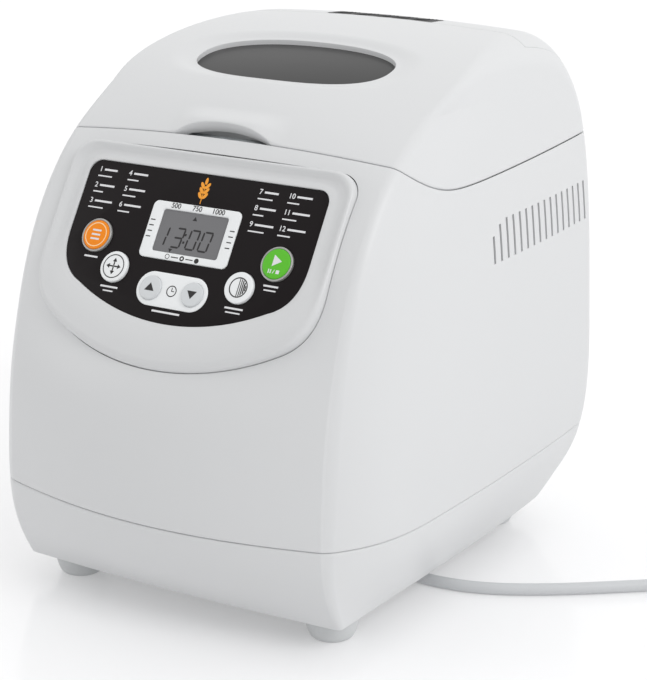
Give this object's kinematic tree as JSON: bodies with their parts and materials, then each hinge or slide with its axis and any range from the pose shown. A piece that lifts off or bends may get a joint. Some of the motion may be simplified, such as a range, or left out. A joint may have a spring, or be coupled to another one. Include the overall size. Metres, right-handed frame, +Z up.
{
  "type": "bread machine",
  "caption": "Domestic bread machine with a sloping control panel, hinged lid with an oval window, lift-out pan with kneading paddle, belt drive and mains cord",
  "frame": {"origin": "on the floor under the middle of the casing, cord and plug left out", "axes": "+X to the machine's right as seen from its front, +Y to its rear, +Z up; the control panel faces -Y"},
  "size_m": [0.4412, 0.3832, 0.2881],
  "materials": {
    "white_shell": "satin white moulded plastic",
    "black_film": "smooth black printed film",
    "black_plastic": "plain black moulding",
    "pale_key": "smooth white moulding",
    "orange_key": "smooth orange moulding",
    "green_key": "smooth green moulding",
    "display_grey": "grey display face under a clear cover",
    "smoked_glass": "dark tinted, polished",
    "clear_glass": "clear, polished",
    "steel": "bright drawn or turned steel",
    "coated_steel": "dark non-stick or heat-proof coat",
    "galvanised": "plain zinc-coated sheet",
    "aluminium": "as cast and turned",
    "circuit_green": "green board with its parts",
    "grey_rubber": "pale grey, matt",
    "black_rubber": "black, matt",
    "cord_grey": "pale grey flexible plastic"
  },
  "bodies": {
    "casing": {"base_shell": "white_shell", "body_shell": "white_shell", "foot_front_right": "grey_rubber", "foot_front_left": "grey_rubber", "foot_rear_right": "grey_rubber", "foot_rear_left": "grey_rubber", "control_panel_frame": "white_shell", "control_fascia": "black_film", "display_bezel": "pale_key", "display_glass": "display_grey", "time_key_plate": "pale_key", "display_module": "black_plastic", "control_board": "circuit_green", "hinge_barrel": "white_shell", "hinge_pin_right": "steel", "hinge_pin_left": "steel", "top_deck": "white_shell", "chamber_trim": "galvanised", "chamber_liner": "galvanised", "heating_element": "coated_steel", "temperature_sensor": "steel", "thermal_fuse": "black_plastic", "pan_socket": "galvanised", "shaft_bearing_housing": "aluminium", "drive_plate": "galvanised", "drive_belt": "black_rubber", "motor": "galvanised", "run_capacitor": "black_plastic", "power_board": "circuit_green", "strain_relief": "grey_rubber", "mains_cord": "cord_grey", "mains_cord_tail": "cord_grey", "cord_coil": "cord_grey", "mains_plug": "cord_grey"},
    "lid": {"lid_outer": "white_shell", "lid_rear_panel": "white_shell", "top_vent_grille": "black_plastic", "lid_window": "smoked_glass", "lid_inner_panel": "galvanised", "lid_inner_window": "clear_glass", "lid_seal": "grey_rubber", "lid_hinge_arm_right": "white_shell", "lid_hinge_arm_left": "white_shell"},
    "menu_button": {"menu_key": "orange_key"},
    "size_button": {"size_key": "pale_key"},
    "time_up_button": {"time_up_key": "pale_key"},
    "time_down_button": {"time_down_key": "pale_key"},
    "colour_button": {"colour_key": "pale_key"},
    "start_button": {"start_key": "green_key"},
    "pan": {"bread_pan": "coated_steel", "pan_base_ring": "aluminium", "pan_shaft_bush": "aluminium"},
    "handle": {"pan_handle": "steel"},
    "paddle": {"pan_shaft": "steel", "kneading_paddle": "coated_steel"},
    "drive": {"large_pulley": "black_plastic", "drive_shaft": "steel", "drive_coupling": "aluminium"},
    "rotor": {"motor_pulley": "aluminium", "motor_shaft": "steel"}
  },
  "joints": [
    {"name": "lid_hinge", "type": "hinge", "parent": "casing", "child": "lid", "pos_m": [0, 0.1395, 0.235], "axis": [-1, 0, 0], "range_deg": [0, 90]},
    {"name": "menu_press", "type": "slide", "parent": "casing", "child": "menu_button", "axis": [0, 0.848, -0.5299], "range_m": [0, 0.001], "stiffness_N_per_m": 800, "springref_m": -0.0005},
    {"name": "size_press", "type": "slide", "parent": "casing", "child": "size_button", "axis": [0, 0.848, -0.5299], "range_m": [0, 0.001], "stiffness_N_per_m": 800, "springref_m": -0.0005},
    {"name": "time_up_press", "type": "slide", "parent": "casing", "child": "time_up_button", "axis": [0, 0.848, -0.5299], "range_m": [0, 0.001], "stiffness_N_per_m": 800, "springref_m": -0.0005},
    {"name": "time_down_press", "type": "slide", "parent": "casing", "child": "time_down_button", "axis": [0, 0.848, -0.5299], "range_m": [0, 0.001], "stiffness_N_per_m": 800, "springref_m": -0.0005},
    {"name": "colour_press", "type": "slide", "parent": "casing", "child": "colour_button", "axis": [0, 0.848, -0.5299], "range_m": [0, 0.001], "stiffness_N_per_m": 800, "springref_m": -0.0005},
    {"name": "start_press", "type": "slide", "parent": "casing", "child": "start_button", "axis": [0, 0.848, -0.5299], "range_m": [0, 0.001], "stiffness_N_per_m": 800, "springref_m": -0.0005},
    {"name": "pan_lift", "type": "slide", "parent": "casing", "child": "pan", "axis": [0, 0, 1], "range_m": [0, 0.035]},
    {"name": "handle_swing", "type": "hinge", "parent": "pan", "child": "handle", "pos_m": [0, 0.025, 0.2094], "axis": [1, 0, 0], "range_deg": [0, 175]},
    {"name": "paddle_spin", "type": "hinge", "parent": "pan", "child": "paddle", "pos_m": [0, 0.025, 0.1], "axis": [0, 0, 1], "continuous": true},
    {"name": "drive_spin", "type": "hinge", "parent": "casing", "child": "drive", "pos_m": [0, 0.025, 0.05], "axis": [0, 0, 1], "continuous": true},
    {"name": "motor_spin", "type": "hinge", "parent": "casing", "child": "rotor", "pos_m": [0.048, -0.092, 0.05], "axis": [0, 0, 1], "continuous": true}
  ],
  "couplings": [
    {"joint": "paddle_spin", "follows": "drive_spin", "ratio": 1},
    {"joint": "motor_spin", "follows": "drive_spin", "ratio": 8}
  ]
}
